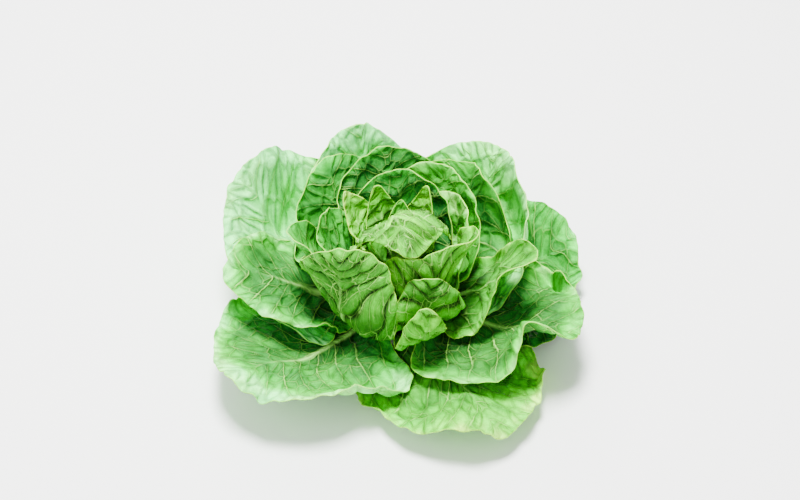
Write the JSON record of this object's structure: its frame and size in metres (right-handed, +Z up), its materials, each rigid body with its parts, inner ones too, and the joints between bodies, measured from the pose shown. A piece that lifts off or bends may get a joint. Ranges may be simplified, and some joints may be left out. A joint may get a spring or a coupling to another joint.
{
  "type": "lettuce head",
  "caption": "Open head of lettuce: broad wavy leaves nest round a short stem that is cut flat, on which the head stands.",
  "frame": {"origin": "centre of the stem's cut face, which the head stands on", "axes": "+Z up through the stem to the heart; -Y is the side that the picture looks down on; +X is to the right in that view"},
  "size_m": [0.3045, 0.2948, 0.1405],
  "materials": {
    "cut_stem": null,
    "heart_cap": null,
    "heart_roll": null,
    "heart_left": null,
    "heart_peak_right": null,
    "heart_peak_left": null,
    "heart_spike": null,
    "heart_front": null,
    "heart_wrap": null,
    "heart_back": null,
    "heart_right": null,
    "inner_left": null,
    "inner_back_right": null,
    "inner_back": null,
    "inner_left_spoon": null,
    "inner_front_wrap": null,
    "inner_front_left": null,
    "inner_right": null,
    "middle_back_right": null,
    "middle_back_left": null,
    "inner_front": null,
    "middle_left": null,
    "outer_back_right": null,
    "outer_back": null,
    "outer_left": null,
    "middle_right": null,
    "outer_front_left": null,
    "outer_right": null,
    "low_right": null,
    "outer_front": null,
    "low_back": null
  },
  "bodies": {
    "root": {"stem": "cut_stem", "leaf_heart_cap": "heart_cap", "leaf_heart_roll": "heart_roll", "leaf_heart_left": "heart_left", "leaf_heart_peak_right": "heart_peak_right", "leaf_heart_peak_left": "heart_peak_left", "leaf_heart_spike": "heart_spike", "leaf_heart_front": "heart_front", "leaf_heart_wrap": "heart_wrap", "leaf_heart_back": "heart_back", "leaf_heart_right": "heart_right", "leaf_inner_left": "inner_left", "leaf_inner_back_right": "inner_back_right", "leaf_inner_back": "inner_back", "leaf_inner_left_spoon": "inner_left_spoon", "leaf_inner_front_wrap": "inner_front_wrap", "leaf_inner_front_left": "inner_front_left", "leaf_inner_right": "inner_right", "leaf_middle_back_right": "middle_back_right", "leaf_middle_back_left": "middle_back_left", "leaf_inner_front": "inner_front", "leaf_middle_left": "middle_left", "leaf_outer_back_right": "outer_back_right", "leaf_outer_back": "outer_back", "leaf_outer_left": "outer_left", "leaf_middle_right": "middle_right", "leaf_outer_front_left": "outer_front_left", "leaf_outer_right": "outer_right", "leaf_low_right": "low_right", "leaf_outer_front": "outer_front", "leaf_low_back": "low_back"}
  },
  "joints": []
}
